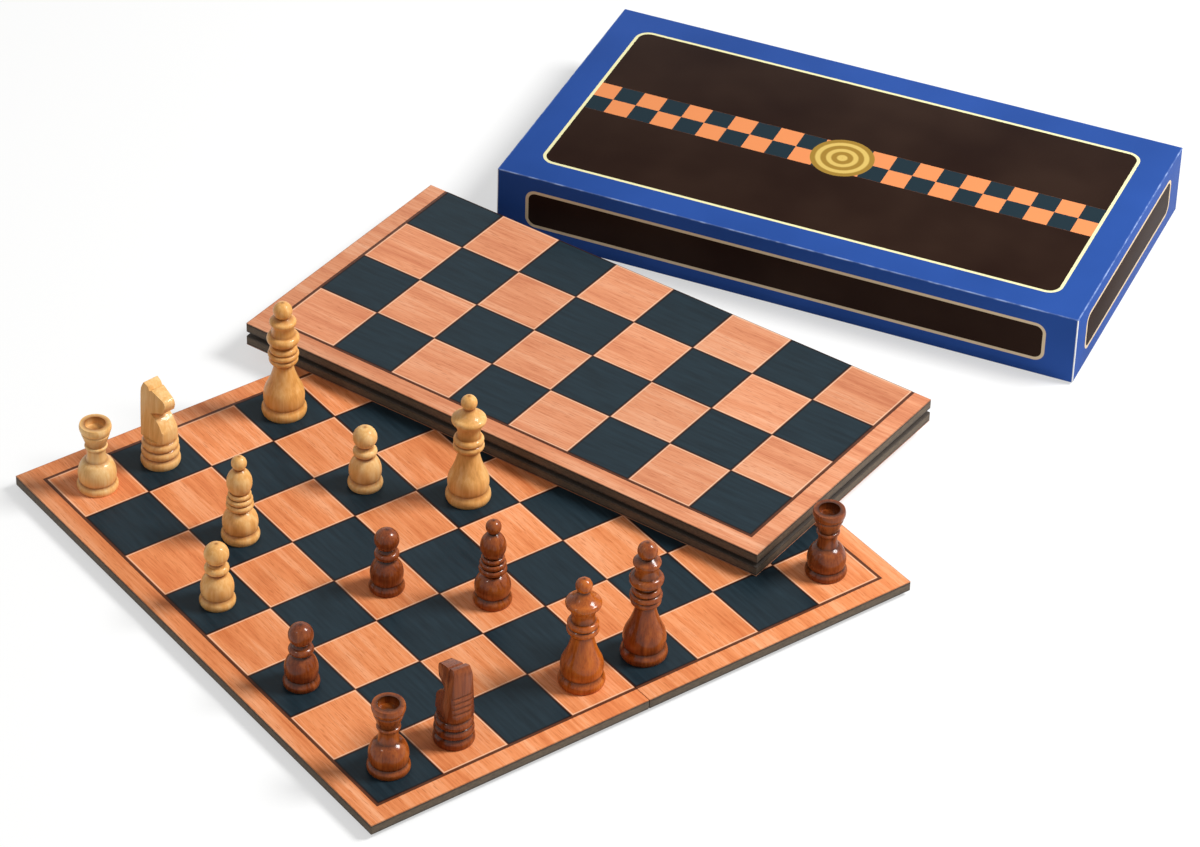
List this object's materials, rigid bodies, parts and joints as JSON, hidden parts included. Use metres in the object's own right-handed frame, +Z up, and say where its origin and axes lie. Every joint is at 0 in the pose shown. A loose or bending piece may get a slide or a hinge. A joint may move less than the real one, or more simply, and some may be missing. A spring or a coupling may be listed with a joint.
{
  "type": "chess board with storage box",
  "caption": "Folding chess boards, one open with turned men in play and one folded, beside a lidded card box whose dividers keep the men under the folded board.",
  "frame": {"origin": "middle of the storage box's underside, on the table plane", "axes": "+X along the box's long side, +Y from the boards toward the box's back, +Z up"},
  "size_m": [0.4419, 0.6291, 0.0737],
  "materials": {
    "light_boxwood": "clear varnish",
    "dark_stained_wood": "glossy varnish",
    "fibreboard": "stained edge",
    "printed_sheet": "satin laminate",
    "felt": "felt",
    "hinge_steel": "satin",
    "screw_steel": "satin",
    "blue_card": "gloss laminated print",
    "stay_paper": "matt",
    "grey_card": "raw"
  },
  "bodies": {
    "storage_box": {"box_base": "blue_card", "base_corner_stays": "stay_paper", "divider_long": "grey_card", "dividers_cross": "grey_card", "stored_light_pawns": "light_boxwood", "stored_light_rook": "light_boxwood", "stored_light_knight": "light_boxwood", "stored_light_bishop": "light_boxwood", "stored_dark_pawns": "dark_stained_wood", "stored_dark_knight": "dark_stained_wood", "stored_dark_bishop": "dark_stained_wood"},
    "box_lid": {"box_lid": "blue_card", "lid_corner_stays": "stay_paper"},
    "open_right_leaf": {"open_right_core": "fibreboard", "open_right_face": "printed_sheet", "open_right_feet": "felt", "open_right_hinge_plates": "hinge_steel", "open_right_hinge_screws": "screw_steel"},
    "open_left_leaf": {"open_left_core": "fibreboard", "open_left_face": "printed_sheet", "open_left_feet": "felt", "open_left_hinge_plates": "hinge_steel", "open_left_hinge_screws": "screw_steel", "open_hinge_pins": "hinge_steel"},
    "folded_lower_leaf": {"folded_lower_core": "fibreboard", "folded_lower_face": "printed_sheet", "folded_lower_feet": "felt", "folded_lower_hinge_plates": "hinge_steel", "folded_lower_hinge_screws": "screw_steel"},
    "folded_upper_leaf": {"folded_upper_core": "fibreboard", "folded_upper_face": "printed_sheet", "folded_upper_feet": "felt", "folded_upper_hinge_plates": "hinge_steel", "folded_upper_hinge_screws": "screw_steel", "folded_hinge_pins": "hinge_steel"},
    "light_rook": {"light_rook": "light_boxwood"},
    "light_knight": {"light_knight": "light_boxwood"},
    "light_bishop": {"light_bishop": "light_boxwood"},
    "light_king": {"light_king": "light_boxwood"},
    "light_queen": {"light_queen": "light_boxwood"},
    "light_pawn_front": {"light_pawn_front": "light_boxwood"},
    "light_pawn_back": {"light_pawn_back": "light_boxwood"},
    "dark_rook_near": {"dark_rook_near": "dark_stained_wood"},
    "dark_rook_right": {"dark_rook_right": "dark_stained_wood"},
    "dark_knight": {"dark_knight": "dark_stained_wood"},
    "dark_bishop": {"dark_bishop": "dark_stained_wood"},
    "dark_queen": {"dark_queen": "dark_stained_wood"},
    "dark_king": {"dark_king": "dark_stained_wood"},
    "dark_pawn_front": {"dark_pawn_front": "dark_stained_wood"},
    "dark_pawn_back": {"dark_pawn_back": "dark_stained_wood"}
  },
  "joints": [
    {"name": "lid_lift", "type": "slide", "parent": "storage_box", "child": "box_lid", "axis": [0, 0, 1], "range_m": [0, 0.06]},
    {"name": "open_board_lift", "type": "slide", "parent": "storage_box", "child": "open_right_leaf", "axis": [0, 0, 1], "range_m": [0, 0.08]},
    {"name": "open_board_fold", "type": "hinge", "parent": "open_right_leaf", "child": "open_left_leaf", "pos_m": [-0.07002, -0.33102, 0.00115], "axis": [0.8572, -0.515, 0], "range_deg": [0, 180]},
    {"name": "folded_board_lift", "type": "slide", "parent": "open_right_leaf", "child": "folded_lower_leaf", "axis": [0, 0, 1], "range_m": [0, 0.08]},
    {"name": "folded_board_open", "type": "hinge", "parent": "folded_lower_leaf", "child": "folded_upper_leaf", "pos_m": [-0.04439, -0.121, 0.01435], "axis": [-0.977, 0.213, 0], "range_deg": [0, 90]},
    {"name": "light_rook_lift", "type": "slide", "parent": "open_left_leaf", "child": "light_rook", "axis": [0, 0, 1], "range_m": [0, 0.07]},
    {"name": "light_knight_lift", "type": "slide", "parent": "open_left_leaf", "child": "light_knight", "axis": [0, 0, 1], "range_m": [0, 0.07]},
    {"name": "light_bishop_lift", "type": "slide", "parent": "open_left_leaf", "child": "light_bishop", "axis": [0, 0, 1], "range_m": [0, 0.07]},
    {"name": "light_king_lift", "type": "slide", "parent": "open_left_leaf", "child": "light_king", "axis": [0, 0, 1], "range_m": [0, 0.07]},
    {"name": "light_queen_lift", "type": "slide", "parent": "open_right_leaf", "child": "light_queen", "axis": [0, 0, 1], "range_m": [0, 0.07]},
    {"name": "light_pawn_front_lift", "type": "slide", "parent": "open_left_leaf", "child": "light_pawn_front", "axis": [0, 0, 1], "range_m": [0, 0.07]},
    {"name": "light_pawn_back_lift", "type": "slide", "parent": "open_left_leaf", "child": "light_pawn_back", "axis": [0, 0, 1], "range_m": [0, 0.07]},
    {"name": "dark_rook_near_lift", "type": "slide", "parent": "open_left_leaf", "child": "dark_rook_near", "axis": [0, 0, 1], "range_m": [0, 0.07]},
    {"name": "dark_rook_right_lift", "type": "slide", "parent": "open_right_leaf", "child": "dark_rook_right", "axis": [0, 0, 1], "range_m": [0, 0.07]},
    {"name": "dark_knight_lift", "type": "slide", "parent": "open_left_leaf", "child": "dark_knight", "axis": [0, 0, 1], "range_m": [0, 0.07]},
    {"name": "dark_bishop_lift", "type": "slide", "parent": "open_left_leaf", "child": "dark_bishop", "axis": [0, 0, 1], "range_m": [0, 0.07]},
    {"name": "dark_queen_lift", "type": "slide", "parent": "open_left_leaf", "child": "dark_queen", "axis": [0, 0, 1], "range_m": [0, 0.07]},
    {"name": "dark_king_lift", "type": "slide", "parent": "open_right_leaf", "child": "dark_king", "axis": [0, 0, 1], "range_m": [0, 0.07]},
    {"name": "dark_pawn_front_lift", "type": "slide", "parent": "open_left_leaf", "child": "dark_pawn_front", "axis": [0, 0, 1], "range_m": [0, 0.07]},
    {"name": "dark_pawn_back_lift", "type": "slide", "parent": "open_left_leaf", "child": "dark_pawn_back", "axis": [0, 0, 1], "range_m": [0, 0.07]}
  ]
}
